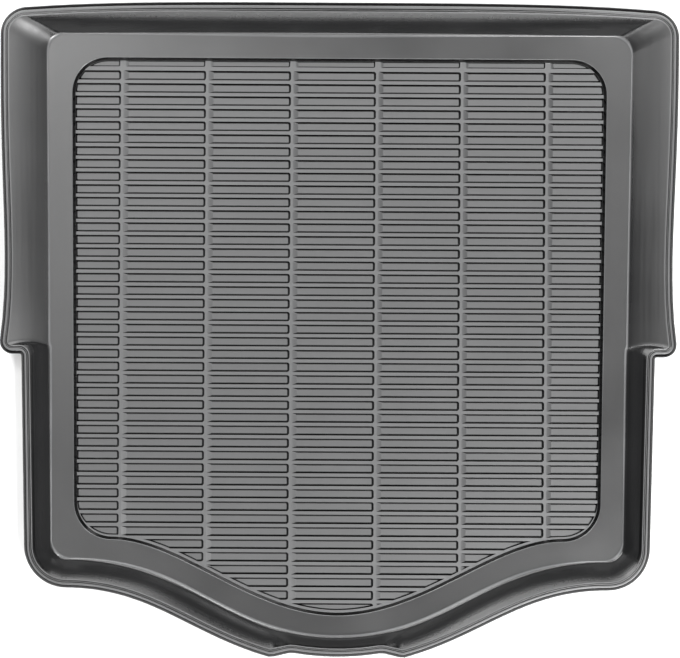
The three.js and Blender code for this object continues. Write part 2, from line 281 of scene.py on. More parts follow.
# %% [markdown]
# Some sizes change on the way from the rear to the nose, such as the lip's width and the softness of the
# wall's foot. They are written as a few pairs: how far along the outline, and the value there.

# %% Values that change from the rear to the nose
station = np.arange(len(top_edge))
from_rear = np.minimum(station, len(top_edge) - station)
cheek_start = STEPS["rear"] + STEPS["corner"] + STEPS["upper"]
cheek_end = cheek_start + STEPS["outer"] + 1 + STEPS["inner"]
at_cheek = (from_rear >= cheek_start) & (from_rear <= cheek_end)
corner_share = STEPS["rear"] / from_rear.max()
cheek_share = cheek_start / from_rear.max()


def changing(*pairs):
    """A value for each point of an outline, from pairs of a share of the way to the nose and a value."""
    places, values = zip(*pairs)
    return np.interp(from_rear / from_rear.max(), places, values)


lip_stretch = changing((0, 1.18), (corner_share - 0.02, 1.14), (corner_share + 0.08, 1), (1, 1))
groove_depth = changing((0, 2.6), (corner_share, 1.1), (cheek_share, 1.0), (cheek_share + 0.1, 1.7),
                        (0.75, 2.0), (1, 1.5))
foot_reach = changing((0, 6), (corner_share, 5), (corner_share + 0.1, 3), (cheek_share, 3),
                      (cheek_share + 0.06, 5.5), (1, 6))
print("the corner and the cheek start at shares", round(corner_share, 2), "and", round(cheek_share, 2))

# %% Rings of the wall and of the lip
LIP_WIDTH = 13.8
WALL_SWELL = 0.3  # how much steeper the wall is at its foot than at its top


def lip_ring(reach, fall):
    """A ring on the lip: how far out from the wall's top, and how far below the rim."""
    outer = top_edge + top_out * LIP_WIDTH
    return ring(outer - top_out * ((LIP_WIDTH - reach) * lip_stretch)[:, None], RIM_Z - fall)


def wall_ring(share):
    """A ring on the wall, at a share of the way up it, bulging forwards where the cheek is."""
    hump = share * (1 - share)
    wall_top = lip_ring(0, 0)[:, :2]
    line = mix(foot_edge, wall_top, share) + np.outer(at_cheek * 4 * CHEEK_BULGE * hump, [0, 1])
    return ring(line, mix(BAND_Z, RIM_Z, share + WALL_SWELL * hump))


print("run of the rear wall:", round(wall_ring(1)[0, 1] - wall_ring(0)[0, 1], 1), "mm")


# %% Bends
REACH_LIMIT = 0.45  # of the way to the next ring, so that two bends never meet


def rounded(rings, reaches, counts):
    """Replaces each ring that has a reach by rings on a curve, which starts and ends that far from it."""
    out = []
    for j, key in enumerate(rings):
        if np.max(reaches[j]) == 0:
            out.append(key)
            continue
        sides = []
        for other in (rings[j - 1], rings[j + 1]):
            way = other - key
            length = np.linalg.norm(way, axis=1)[:, None]
            reach = np.broadcast_to(reaches[j], len(key))[:, None]
            sides.append(key + way / length * np.minimum(reach, REACH_LIMIT * length))
        for t in np.linspace(0, 1, counts[j] + 1):
            out.append(sides[0] * (1 - t) ** 2 + 2 * key * t * (1 - t) + sides[1] * t**2)
    return out


# %% Top side, from the panel out to the lip's edge
LIP_GROOVE = [(1.3, 0, 0), (2.0, 0.05, 0.25), (2.7, 0, 0.9), (3.4, 0, 1), (4.1, 0, 0.9), (4.8, 0, 0.25),
              (5.5, 0, 0)]  # reach, fall and share of the groove's depth
LIP_OUTSIDE = [(7.4, 0), (8.3, 0.15), (8.9, 0.52), (9.6, 1.12), (10.6, 2.0), (11.6, 2.89), (12.6, 3.8),
               (13.3, 4.55), (13.7, 5.6), (LIP_WIDTH, 8.4)]  # reach and fall
PANEL_BEND, BAND_BEND, RIM_BEND = 1.2, 1.0, 1.5  # reaches of the bends
INSIDE_GAP = 8  # from the step to the first ring, which the flat panel fills

band_middle = ring(mix(panel_edge, foot_edge, 0.5), BAND_Z)
top_keys = [(step_ring(RIDGE_Z, INSIDE_GAP), 0, 0), (step_ring(RIDGE_Z), PANEL_BEND, 7),
            (ring(panel_edge, BAND_Z), BAND_BEND, 4), (band_middle, 0, 0), (wall_ring(0), foot_reach, 8)]
top_keys += [(wall_ring(share), 0, 0) for share in (0.3, 0.45, 0.6, 0.75, 0.88)]
top_keys += [(wall_ring(1), RIM_BEND, 4)]
top_keys += [(lip_ring(reach, fall + share * groove_depth), 0, 0) for reach, fall, share in LIP_GROOVE]
top_keys += [(lip_ring(reach, fall), 0, 0) for reach, fall in LIP_OUTSIDE]
top_rings = rounded(*zip(*top_keys))
print("rings on the top side:", len(top_rings))

# %% [markdown]
# The underside lies one sheet behind the top side. It isn't seen, so it follows a plain version of the
# top with fewer rings: without the lip's groove and without the ribs, whose channels are cut later.


# %% Underside
def square_to(rings):
    """The direction to the back of each stretch between two rings, as its outward and its upward part."""
    normals = []
    for a, b in zip(rings[:-1], rings[1:]):
        way = b - a
        run = np.linalg.norm(way[:, :2], axis=1)
        size = np.hypot(run, way[:, 2])
        normals.append(np.stack([way[:, 2] / size, -run / size], axis=1))
    return normals


def behind(rings):
    """Each ring moved one sheet back, square to the stretches on either side of it."""
    normals = square_to(rings)
    flat = np.broadcast_to([0.0, -1.0], normals[0].shape)
    outs = [panel_out] * 2 + [foot_out] * 2 + [top_out] * (len(rings) - 4)
    moved = []
    for j, key in enumerate(rings):
        before = flat if j == 0 else normals[j - 1]
        after = normals[j] if j < len(normals) else normals[-1]
        shift = (before + after) * (SHEET / (1 + (before * after).sum(axis=1)))[:, None]
        moved.append(key + np.column_stack([outs[j] * shift[:, :1], shift[:, 1]]))
    return moved


plain_keys = [step_ring(FLOOR_Z), ring(panel_edge, BAND_Z), wall_ring(0), wall_ring(0.4), wall_ring(0.7),
              wall_ring(1), lip_ring(8.3, 0), lip_ring(11.3, 2.4), lip_ring(LIP_WIDTH, 8.4)]
back_keys = behind(plain_keys)
back_reach = [0, 1.5, 4, 0, 0, 1.5, 1.2, 1.2, 0]
back_rings = rounded(back_keys, back_reach, [3] * len(back_keys))
shell_rings = top_rings + back_rings[::-1]
print("rings on the underside:", len(back_rings))


# %% Shell mesh
def mesh_from(name, points, faces):
    mesh = bpy.data.meshes.new(name)
    mesh.from_pydata([tuple(p) for p in points], [], faces)
    mesh.validate()
    return mesh


def closed_loft(name, rings):
    """A solid from rings that run from its flat top down its outside to its flat bottom."""
    count = len(rings[0])
    points = np.concatenate(rings) + [0, MOVE_Y, 0]
    faces = [list(range(count))[::-1]]
    for j in range(len(rings) - 1):
        for i in range(count):
            a, b = j * count + i, j * count + (i + 1) % count
            faces.append([a, b, b + count, a + count])
    last = (len(rings) - 1) * count
    faces.append([last + i for i in range(count)])
    return mesh_from(name, points * MM, faces)


def new_object(name, mesh):
    made = bpy.data.objects.new(name, mesh)
    bpy.context.scene.collection.objects.link(made)
    return made


shell = new_object("shell_blank", closed_loft("shell_blank", shell_rings))
print("shell faces:", len(shell.data.polygons))

# %% [markdown]
# The ribbed panel is a sheet with long shallow pockets pressed into it, and what stays between them are
# the ribs. There are about three hundred pockets on one even grid, so only one is modelled: a block with
# round corners whose walls are nearly straight, with a small round above and below. They are steep at its
# front, rear and right, and gentle at its left end.

# %% Sizes of the pockets, in mm, with the wall as shares inwards and downwards
ROW_PITCH, ROWS, FIRST_ROW = 19.963, 43, 399.7
COLUMN_PITCH, COLUMNS, COLUMN_SHIFT = 134, 7, -7.7
STRIP_LIFT = 1.6  # of the rearmost row, which is only a shallow strip
POCKET = dict(long=130.4, wide=15.3, wall=3.2, right=3.8, left=8.0, mouth_corner=3.6, floor_corner=1.4)
POCKET_TOP, POCKET_ABOVE = RIDGE_Z + 0.04, RIDGE_Z + 3
LEFT_CORNER = 0.5
POCKET_WALL = [(0, 0), (0.06, 0.02), (0.13, 0.09), (0.5, 0.5), (0.87, 0.91), (0.94, 0.98), (1, 1)]


# %% One pocket, as the block that it takes out of the panel
def corner_points(middle, start, end, radius):
    turn = math.radians(start)
    first = [middle[0] + radius * math.cos(turn), middle[1] + radius * math.sin(turn)]
    return [first, *arc(middle, radius, start, end, 4)]


def pocket_ring(share, z):
    p = POCKET
    deep = min(1, (POCKET_TOP - z) / (POCKET_TOP - FLOOR_Z)) if share else 0
    left, right = -p["long"] / 2 + p["left"] * deep, p["long"] / 2 - p["right"] * share
    half = p["wide"] / 2 - p["wall"] * share
    r, small = mix(p["mouth_corner"], p["floor_corner"], share), LEFT_CORNER
    points = corner_points((right - r, half - r), 90, 0, r)
    points += corner_points((right - r, r - half), 0, -90, r)
    points += corner_points((left + small, small - half), -90, -180, small)
    points += corner_points((left + small, half - small), 180, 90, small)
    return ring(np.array(points), z)


def unmoved(rings):
    """Rings round their own middle, which the loft would otherwise move with the tray's outlines."""
    return [r - [0, MOVE_Y, 0] for r in rings]


pocket_rings = [pocket_ring(0, POCKET_ABOVE)]
pocket_rings += [pocket_ring(share, mix(POCKET_TOP, FLOOR_Z, fall)) for share, fall in POCKET_WALL]
pocket = new_object("pocket_block", closed_loft("pocket_block", unmoved(pocket_rings)))
print("pocket faces:", len(pocket.data.polygons))

# %% [markdown]
# The outer pockets end where the panel's step begins, so the space inside the step is a block of its own.
# Along the nose the real panel keeps a plain border, which the block leaves out.

# %% The space inside the step, in mm
BELOW_FLOOR, ABOVE_RIBS, AREA_BEND = 0.06, 5.8, 0.8
AREA_RUN, AREA_INSIDE = 1.6, 18  # of its side, and to the ring inside that ends the loft
NOSE_BORDER, SIDE_BORDER = 3.5, 0.12
border = changing((0, SIDE_BORDER), (0.52, SIDE_BORDER), (0.58, 2), (0.7, NOSE_BORDER), (1, NOSE_BORDER))
area_floor = [ring(step_ring(RIDGE_Z, gap)[:, :2], FLOOR_Z - BELOW_FLOOR)
              for gap in (border + AREA_RUN, AREA_INSIDE)]
area_keys = [(step_ring(RIDGE_Z + ABOVE_RIBS, border), 0, 0), (step_ring(RIDGE_Z, border), AREA_BEND, 3),
             (area_floor[0], AREA_BEND, 3), (area_floor[1], 0, 0)]
area = new_object("panel_area", closed_loft("panel_area", rounded(*zip(*area_keys))))
print("plain border at the nose:", round(border.max(), 1), "mm")

# %% [markdown]
# Under each rib the formed sheet leaves a channel, so that it keeps about one thickness. The channels are
# bars with sloping sides, and they too end inside the panel's step.

# %% Channels that the forming leaves under the ribs
CHANNEL_HALF_LENGTH, CHANNEL_DEPTH, CHANNEL_LEAN, CHANNEL_BELOW = 470, 1.9, 2.2, 1
ROW_CHANNEL_HALF, COLUMN_CHANNEL_HALF = 1.7, 1.2
UNDER_GAP, UNDER_HALF = 5, 4


def bar(name, half_width):
    """A bar that is this wide at the channel's top, and wider below by its lean on each side."""
    half = CHANNEL_HALF_LENGTH
    rings = []
    for z, y in ((CHANNEL_DEPTH, half_width), (-CHANNEL_BELOW, half_width + CHANNEL_LEAN)):
        rings.append(ring(np.array([[-half, y], [half, y], [half, -y], [-half, -y]]), z))
    return new_object(name, closed_loft(name, unmoved(rings)))


row_channel, column_channel = bar("row_channel", ROW_CHANNEL_HALF), bar("column_channel", COLUMN_CHANNEL_HALF)
column_channel.data.transform(Matrix.Rotation(math.pi / 2, 4, "Z"))
under_edge = step_ring(FLOOR_Z, UNDER_GAP)[:, :2]
under_rings = [ring(under_edge, UNDER_HALF), ring(under_edge, -UNDER_HALF)]
under_area = new_object("under_area", closed_loft("under_area", under_rings))
print("faces of a channel's bar:", len(row_channel.data.polygons))

# %% [markdown]
# Geometry Nodes set the pocket out on its grid and cut all of them at once. An array modifier could
# repeat the block, but the node tree has every size as a named input, so the pitch or the number of rows
# can be changed in one place. The step round the panel ends the outer pockets: the grid is first cut down
# to the panel's area, and only then taken out of the shell. The same tree takes the channels out from
# below.


# %% Helpers for all node trees
def add(tree, kind, place, **settings):
    node = tree.nodes.new(kind)
    node.location = place
    for name, value in settings.items():
        setattr(node, name, value)
    return node


def fill(node, **values):
    for name, value in values.items():
        node.inputs[name.replace("_", " ")].default_value = value


def maths(tree, place, operation, *values):
    """A maths node, whose values are plain numbers or come from other nodes."""
    node = add(tree, "ShaderNodeMath", place, operation=operation)
    for socket, value in zip(node.inputs, values):
        if isinstance(value, (int, float)):
            socket.default_value = value
        else:
            tree.links.new(value, socket)
    return node.outputs[0]


# %% Helpers for shapes in the node tree
def boolean(tree, place, operation, first, second):
    cut = add(tree, "GeometryNodeMeshBoolean", place, operation=operation, solver="MANIFOLD")
    tree.links.new(first, cut.inputs["Mesh 1" if operation == "DIFFERENCE" else "Mesh 2"])
    tree.links.new(second, cut.inputs["Mesh 2"])
    return cut.outputs["Mesh"]


def shape_of(tree, socket, place):
    info = add(tree, "GeometryNodeObjectInfo", place)
    tree.links.new(socket, info.inputs["Object"])
    return info.outputs["Geometry"]


def realized(tree, geometry, place):
    real = add(tree, "GeometryNodeRealizeInstances", place)
    tree.links.new(geometry, real.inputs[0])
    return real.outputs[0]


def line_of(tree, place, count, start, step, shape, axis):
    """Copies of a shape on a straight line along an axis."""
    line = add(tree, "GeometryNodeMeshLine", place, mode="OFFSET")
    tree.links.new(count, line.inputs["Count"])
    for end, value in (("Start Location", start), ("Offset", step)):
        vector = add(tree, "ShaderNodeCombineXYZ", (place[0] - 200, place[1]))
        tree.links.new(value, vector.inputs[axis])
        tree.links.new(vector.outputs[0], line.inputs[end])
    copies = add(tree, "GeometryNodeInstanceOnPoints", (place[0] + 200, place[1]))
    tree.links.new(line.outputs["Mesh"], copies.inputs["Points"])
    tree.links.new(shape, copies.inputs["Instance"])
    return copies.outputs[0]


# %% The tree's inputs
TREE_INPUTS = [
    ("NodeSocketGeometry", ("Shell",)),
    ("NodeSocketObject", ("Pocket", "Panel Area", "Row Channel", "Column Channel", "Under Area")),
    ("NodeSocketFloat", ("Row Pitch", "First Row", "Column Pitch", "Column Shift")),
    ("NodeSocketFloat", ("Strip Lift", "Soft Angle")),
    ("NodeSocketInt", ("Rows", "Columns")),
    ("NodeSocketMaterial", ("Plastic",)),
]


def empty_tree():
    tree = bpy.data.node_groups.new("moulded_panel", "GeometryNodeTree")
    for kind, names in TREE_INPUTS:
        for name in names:
            tree.interface.new_socket(name, in_out="INPUT", socket_type=kind)
    tree.interface.new_socket("Tray", in_out="OUTPUT", socket_type="NodeSocketGeometry")
    return tree, add(tree, "NodeGroupInput", (-1400, 0)).outputs


# %% The grid's places, and one column of pockets
def grid_places(tree, source):
    """Where the rear row and the left column are, how far the rows step, and how many there are."""
    gaps = maths(tree, (-800, -200), "SUBTRACT", source["Columns"], 1)
    half = maths(tree, (-600, -200), "MULTIPLY", gaps, -0.5)
    reach = maths(tree, (-500, -300), "MULTIPLY", half, source["Column Pitch"])
    return dict(
        rear_y=maths(tree, (-1200, 500), "ADD", source["First Row"], source["Row Pitch"]),
        row_step=maths(tree, (-1200, 350), "MULTIPLY", source["Row Pitch"], -1),
        rows=maths(tree, (-1200, 200), "ADD", source["Rows"], 1),
        left_x=maths(tree, (-400, -200), "ADD", reach, source["Column Shift"]))


def pocket_column(tree, source, grid):
    """One column of pockets, with the rear one lifted so that it leaves only a shallow strip."""
    shape = shape_of(tree, source["Pocket"], (-900, 750))
    rows = line_of(tree, (-800, 500), grid["rows"], grid["rear_y"], grid["row_step"], shape, "Y")
    index = add(tree, "GeometryNodeInputIndex", (-600, 200)).outputs[0]
    first = maths(tree, (-600, 50), "COMPARE", index, 0)
    lift = add(tree, "ShaderNodeCombineXYZ", (-400, 50))
    tree.links.new(maths(tree, (-500, -50), "MULTIPLY", first, source["Strip Lift"]), lift.inputs["Z"])
    lifted = add(tree, "GeometryNodeTranslateInstances", (-400, 500))
    tree.links.new(rows, lifted.inputs["Instances"])
    tree.links.new(lift.outputs[0], lifted.inputs["Translation"])
    return lifted.outputs[0]


# %% All pockets, and the channels between the rows and between the columns
def all_pockets(tree, source, grid):
    column = pocket_column(tree, source, grid)
    count, step = source["Columns"], source["Column Pitch"]
    columns = line_of(tree, (-100, 500), count, grid["left_x"], step, column, "X")
    return boolean(tree, (500, 500), "INTERSECT", realized(tree, columns, (300, 500)),
                   shape_of(tree, source["Panel Area"], (300, 300)))


def row_channels(tree, source, grid):
    half_pitch = maths(tree, (-1300, -600), "MULTIPLY", source["Row Pitch"], 0.5)
    rib_y = maths(tree, (-1200, -500), "SUBTRACT", grid["rear_y"], half_pitch)
    shape = shape_of(tree, source["Row Channel"], (-900, -700))
    bars = line_of(tree, (-800, -500), grid["rows"], rib_y, grid["row_step"], shape, "Y")
    return boolean(tree, (0, -500), "INTERSECT", realized(tree, bars, (-200, -500)),
                   shape_of(tree, source["Under Area"], (-200, -700)))


def column_channels(tree, source, grid):
    half_pitch = maths(tree, (-500, -1000), "MULTIPLY", source["Column Pitch"], 0.5)
    rib_x = maths(tree, (-400, -900), "ADD", grid["left_x"], half_pitch)
    ribs = maths(tree, (-600, -1100), "SUBTRACT", source["Columns"], 1)
    shape = shape_of(tree, source["Column Channel"], (-300, -1200))
    bars = line_of(tree, (-100, -900), ribs, rib_x, source["Column Pitch"], shape, "X")
    return boolean(tree, (500, -900), "INTERSECT", realized(tree, bars, (300, -900)),
                   shape_of(tree, source["Under Area"], (300, -1100)))


# %% The cuts, the shading and the plastic
def shaded(tree, source, tray):
    """Smooth shading, but not over edges that turn more than the soft angle, and the plastic on it all."""
    smooth = add(tree, "GeometryNodeSetShadeSmooth", (1300, 200), domain="FACE")
    tree.links.new(tray, smooth.inputs["Geometry"])
    angle = add(tree, "GeometryNodeInputMeshEdgeAngle", (1100, -100)).outputs["Unsigned Angle"]
    crisp = add(tree, "GeometryNodeSetShadeSmooth", (1500, 200), domain="EDGE")
    tree.links.new(smooth.outputs[0], crisp.inputs["Geometry"])
    sharp = maths(tree, (1300, -100), "GREATER_THAN", angle, source["Soft Angle"])
    tree.links.new(sharp, crisp.inputs["Selection"])
    crisp.inputs["Shade Smooth"].default_value = False
    dressed = add(tree, "GeometryNodeSetMaterial", (1900, 200))
    tree.links.new(realized(tree, crisp.outputs[0], (1700, 200)), dressed.inputs["Geometry"])
    tree.links.new(source["Plastic"], dressed.inputs["Material"])
    return dressed.outputs[0]


def moulded_panel_tree():
    tree, source = empty_tree()
    grid = grid_places(tree, source)
    tray = boolean(tree, (700, 400), "DIFFERENCE", source["Shell"], all_pockets(tree, source, grid))
    tray = boolean(tree, (900, 300), "DIFFERENCE", tray, row_channels(tree, source, grid))
    tray = boolean(tree, (1100, 200), "DIFFERENCE", tray, column_channels(tree, source, grid))
    end = add(tree, "NodeGroupOutput", (2100, 200))
    tree.links.new(shaded(tree, source, tray), end.inputs[0])
    return tree


panel_tree = moulded_panel_tree()
print("nodes in the tree:", len(panel_tree.nodes))

# %% [markdown]
# The finish is a black polyethylene sheet. One flat colour would look like a drawing, because the real
# sheet shows several things: a fine grain pressed in all over, slow clouds where it cooled unevenly, and
# faint lines where it was drawn up the walls. The grain and the lines are shader groups of their own, fed
# by the object's coordinates, so they stay where they are from every side.


# %% Start of a shader group
def shader_group(name, inputs, outputs):
    tree = bpy.data.node_groups.new(name, "ShaderNodeTree")
    for label, kind, value in inputs:
        socket = tree.interface.new_socket(label, in_out="INPUT", socket_type=kind)
        if value is not None:
            socket.default_value = value
    for label, kind in outputs:
        tree.interface.new_socket(label, in_out="OUTPUT", socket_type=kind)
    return tree, add(tree, "NodeGroupInput", (-900, 0)), add(tree, "NodeGroupOutput", (900, 0))


FLOAT, VECTOR = "NodeSocketFloat", "NodeSocketVector"


# %% Pressed grain and slow clouds
def grain_group():
    tree, start, end = shader_group(
        "pressed_grain", [("Vector", VECTOR, None), ("Size", FLOAT, 0.0012), ("Cloud Size", FLOAT, 0.12)],
        [("Height", FLOAT), ("Cloud", FLOAT)])
    for size, detail, output, y in (("Size", 2, "Height", 200), ("Cloud Size", 3, "Cloud", -200)):
        noise = add(tree, "ShaderNodeTexNoise", (-300, y))
        noise.inputs["Detail"].default_value = detail
        tree.links.new(start.outputs["Vector"], noise.inputs["Vector"])
        tree.links.new(maths(tree, (-600, y), "DIVIDE", 1, start.outputs[size]), noise.inputs["Scale"])
        tree.links.new(noise.outputs["Fac"], end.inputs[output])
    return tree


# %% Lines where the sheet was drawn
def drawn_group():
    tree, start, end = shader_group(
        "drawn_lines", [("Vector", VECTOR, None), ("Across", FLOAT, 0.004), ("Along", FLOAT, 0.35)],
        [("Lines", FLOAT)])
    parts = add(tree, "ShaderNodeSeparateXYZ", (-600, 0))
    tree.links.new(start.outputs["Vector"], parts.inputs[0])
    stretched = add(tree, "ShaderNodeCombineXYZ", (-200, 0))
    for y, (axis, width) in enumerate((("X", "Across"), ("Y", "Along"), ("Z", "Across"))):
        scaled = maths(tree, (-400, -200 * y), "DIVIDE", parts.outputs[axis], start.outputs[width])
        tree.links.new(scaled, stretched.inputs[axis])
    lines = add(tree, "ShaderNodeTexNoise", (0, 0))
    fill(lines, Scale=1, Detail=2)
    tree.links.new(stretched.outputs[0], lines.inputs["Vector"])
    tree.links.new(lines.outputs["Fac"], end.inputs["Lines"])
    return tree


# %% [markdown]
# What the plastic looks like depends on where on the tray it is. Its height tells the panel, the band,
# the walls and the rim apart, and an attribute of the mesh says how steep each face is. Both become soft
# masks from 0 to 1. Painted masks would do the same, but these follow the shape when a size changes.

# %% Masks, by height and by steepness
PANEL_BELOW, PANEL_ABOVE = 8.0 * MM, 11.0 * MM
WALL_FROM, WALL_FULL = 14.0 * MM, 22.0 * MM
STEEP_FROM, STEEP_FULL = 0.33, 0.60


def ramp(tree, place, source, start, end, low, high):
    """A value that goes softly from low to high while its source goes from start to end."""
    node = add(tree, "ShaderNodeMapRange", place, interpolation_type="SMOOTHSTEP")
    fill(node, From_Min=start, From_Max=end, To_Min=low, To_Max=high)
    tree.links.new(source, node.inputs["Value"])
    return node.outputs[0]


def make_masks(tree):
    place = add(tree, "ShaderNodeTexCoord", (-1600, 0)).outputs["Object"]
    height = add(tree, "ShaderNodeSeparateXYZ", (-1400, 0))
    grain = add(tree, "ShaderNodeGroup", (-1400, 400), node_tree=grain_group())
    drawn = add(tree, "ShaderNodeGroup", (-1400, -400), node_tree=drawn_group())
    for socket in (height.inputs[0], grain.inputs["Vector"], drawn.inputs["Vector"]):
        tree.links.new(place, socket)
    level = height.outputs["Z"]
    lean = add(tree, "ShaderNodeAttribute", (-1400, -700), attribute_name="steepness").outputs["Fac"]
    return dict(
        level=level, lines=drawn.outputs["Lines"],
        grain=grain.outputs["Height"], cloud=grain.outputs["Cloud"],
        panel=ramp(tree, (-1200, 0), level, PANEL_ABOVE, PANEL_BELOW, 0, 1),
        wall=ramp(tree, (-1200, -250), level, WALL_FROM, WALL_FULL, 0, 1),
        steep=ramp(tree, (-1200, -700), lean, STEEP_FROM, STEEP_FULL, 0, 1))


# %% [markdown]
# The sheen comes first. The real tray is half glossy on the band, softer on the walls and matt in the
# panel, where the mould's face is rough. Where the hot sheet was pressed over a steep place it took a
# polish. The drawn lines and the clouds change the sheen a little, and they are what breaks up the
# reflections on the walls.

# %% Sheen
BAND_ROUGH, PANEL_ROUGH, WALL_ROUGHER = 0.30, 0.44, 0.10
DRAWN_SWING, CLOUD_SWING = 0.05, 0.03
STEEP_POLISH, WALL_POLISH = 0.35, 0.42  # shares of the roughness that steep places keep


def sheen(tree, mask):
    rough = ramp(tree, (-900, 0), mask["panel"], 0, 1, BAND_ROUGH, PANEL_ROUGH)
    wall = maths(tree, (-1000, -250), "MULTIPLY", mask["wall"], WALL_ROUGHER)
    most = DRAWN_SWING / WALL_ROUGHER
    swing = ramp(tree, (-1000, -450), mask["lines"], 0, 1, -most, most)
    drawn = maths(tree, (-800, -350), "MULTIPLY", wall, swing)
    cloud = ramp(tree, (-800, -600), mask["cloud"], 0, 1, -CLOUD_SWING, CLOUD_SWING)
    rough = maths(tree, (-700, 0), "ADD", rough, wall)
    rough = maths(tree, (-500, 0), "ADD", rough, maths(tree, (-600, -400), "ADD", drawn, cloud))
    kept = ramp(tree, (-800, -850), mask["wall"], 0, 1, STEEP_POLISH, WALL_POLISH)
    loss = maths(tree, (-600, -850), "SUBTRACT", 1, kept)
    loss = maths(tree, (-500, -850), "MULTIPLY", mask["steep"], loss)
    polish = maths(tree, (-400, -850), "SUBTRACT", 1, loss)
    return maths(tree, (-300, 0), "MULTIPLY", rough, polish)


# %% [markdown]
# The colour is nearly black. The level faces of the matt panel are painted paler, its ribs most of all:
# a painted highlight where they face the lamps. The steep sides of the pockets, of the step and of the lip
# are painted darker and stay the darkest: painted shade, as they face the dark room.

# %% Colour, with painted light and painted shade
BLACK_LOW, BLACK_HIGH = 0.005, 0.008
# Painted light on the panel's level faces: the brightness of its floors and of its ribs.
FLOOR_PAINTED_LIGHT, RIB_PAINTED_LIGHT = 0.014, 0.019
DEEP_SHADE = 0.15  # painted shade: share of the black's brightness that steep places keep, below the band and at the lip
RIB_FROM, RIB_FULL = 4.0 * MM, 6.0 * MM
LOW_FULL, LOW_END, LIP_FROM, LIP_FULL = 12.0 * MM, 13.0 * MM, 40.0 * MM, 42.0 * MM


def shade(tree, mask):
    black = ramp(tree, (-900, 900), mask["cloud"], 0, 1, BLACK_LOW, BLACK_HIGH)
    # Painted shade: steep faces below the band and at the lip are darkened.
    low = ramp(tree, (-900, 1150), mask["level"], LOW_END, LOW_FULL, 0, 1)
    high = ramp(tree, (-900, 1400), mask["level"], LIP_FROM, LIP_FULL, 0, 1)
    deep = maths(tree, (-500, 1200), "MULTIPLY", maths(tree, (-700, 1200), "ADD", low, high), mask["steep"])
    black = maths(tree, (-300, 900), "MULTIPLY", black, ramp(tree, (-400, 1150), deep, 0, 1, 1, DEEP_SHADE))
    # Painted light: the level faces of the panel are paler, the ribs palest.
    level_part = ramp(tree, (-900, 400), mask["steep"], 0, 1, 1, 0)
    flat = maths(tree, (-700, 400), "MULTIPLY", mask["panel"], level_part)
    painted_light = ramp(tree, (-900, 650), mask["level"], RIB_FROM, RIB_FULL, FLOOR_PAINTED_LIGHT, RIB_PAINTED_LIGHT)
    return maths(tree, (-200, 700), "ADD", black, maths(tree, (-500, 500), "MULTIPLY", flat, painted_light))


# %% [markdown]
# Last come painted highlights along three bends: the panel's upper edge, the wall's foot and the top
# of the rim. There the colour is painted paler, where a round bend would catch the lamps. Each is a
# narrow range of heights, and the clouds make them uneven.

# %% Painted highlights along the bends
STEP_BEND = [z * MM for z in (11.7, 12.1, 12.40, 12.48)]  # where the painted highlight starts, is full, fades and ends
FOOT_BEND = [z * MM for z in (12.52, 12.7, 13.0, 14.0)]
RIM_FROM, RIM_FULL, RIM_SHARE = 44.6 * MM, 44.9 * MM, 0.6
BEND_HIGHLIGHT_LOW, BEND_HIGHLIGHT_HIGH = 0.022, 0.040


def bend_mask(tree, y, level, heights):
    start, full, last, end = heights
    up = ramp(tree, (-900, y), level, start, full, 0, 1)
    return maths(tree, (-700, y), "MULTIPLY", up, ramp(tree, (-900, y - 250), level, last, end, 1, 0))


# Painted highlights: the colour is made paler along the bends.
def painted_bend_highlights(tree, mask):
    step = bend_mask(tree, 1900, mask["level"], STEP_BEND)
    foot = bend_mask(tree, 2400, mask["level"], FOOT_BEND)
    rim = ramp(tree, (-900, 2650), mask["level"], RIM_FROM, RIM_FULL, 0, RIM_SHARE)
    highlighted = maths(tree, (-300, 2100), "ADD", maths(tree, (-500, 2100), "ADD", step, foot), rim)
    strength = ramp(tree, (-900, 2900), mask["cloud"], 0.2, 0.8, BEND_HIGHLIGHT_LOW, BEND_HIGHLIGHT_HIGH)
    return maths(tree, (-200, 2100), "MULTIPLY", highlighted, strength)


# %% The plastic, put together
REFRACTION = 1.5  # of polyethylene
PALEST = 0.05  # brightness at which the colour mix is full
PALE_GREY = (0.0500, 0.0506, 0.0520, 1)  # a slightly cool grey, which the colour mix reaches at its palest
GRAIN_STRENGTH, GRAIN_HEIGHT = 0.35, 0.0002


def plastic_material():
    material = bpy.data.materials.new("moulded_plastic_sheet")
    material.use_nodes = True
    tree = material.node_tree
    shader = tree.nodes["Principled BSDF"]
    shader.inputs["IOR"].default_value = REFRACTION
    mask = make_masks(tree)
    tree.links.new(sheen(tree, mask), shader.inputs["Roughness"])
    # The brightness is the plastic's black with its painted light, painted shade and painted highlights.
    brightness = maths(tree, (-100, 700), "ADD", shade(tree, mask), painted_bend_highlights(tree, mask))
    colour = add(tree, "ShaderNodeMix", (-200, 300), data_type="RGBA")
    colour.inputs["A"].default_value = (0, 0, 0, 1)
    colour.inputs["B"].default_value = PALE_GREY
    tree.links.new(maths(tree, (0, 700), "DIVIDE", brightness, PALEST), colour.inputs["Factor"])
    tree.links.new(colour.outputs["Result"], shader.inputs["Base Color"])
    bump = add(tree, "ShaderNodeBump", (-200, -300))
    fill(bump, Strength=GRAIN_STRENGTH, Distance=GRAIN_HEIGHT)
    tree.links.new(mask["grain"], bump.inputs["Height"])
    tree.links.new(bump.outputs["Normal"], shader.inputs["Normal"])
    return material


plastic = plastic_material()
print("nodes in the plastic:", len(plastic.node_tree.nodes))

# %% [markdown]
# Now the tree gets its sizes and runs once. Its result becomes a plain mesh, because the tray is handed
# on as a mesh without modifiers. Weighted normals keep the flat faces flat beside the round bends.

# %% Cut the tray and make it a plain mesh
SOFT_ANGLE = math.radians(34)
inputs = {
    "Pocket": pocket, "Panel Area": area, "Row Channel": row_channel, "Column Channel": column_channel,
    "Under Area": under_area, "Row Pitch": ROW_PITCH * MM, "First Row": (FIRST_ROW + MOVE_Y) * MM,
    "Column Pitch": COLUMN_PITCH * MM, "Column Shift": COLUMN_SHIFT * MM, "Strip Lift": STRIP_LIFT * MM,
    "Soft Angle": SOFT_ANGLE, "Rows": ROWS, "Columns": COLUMNS, "Plastic": plastic,
}


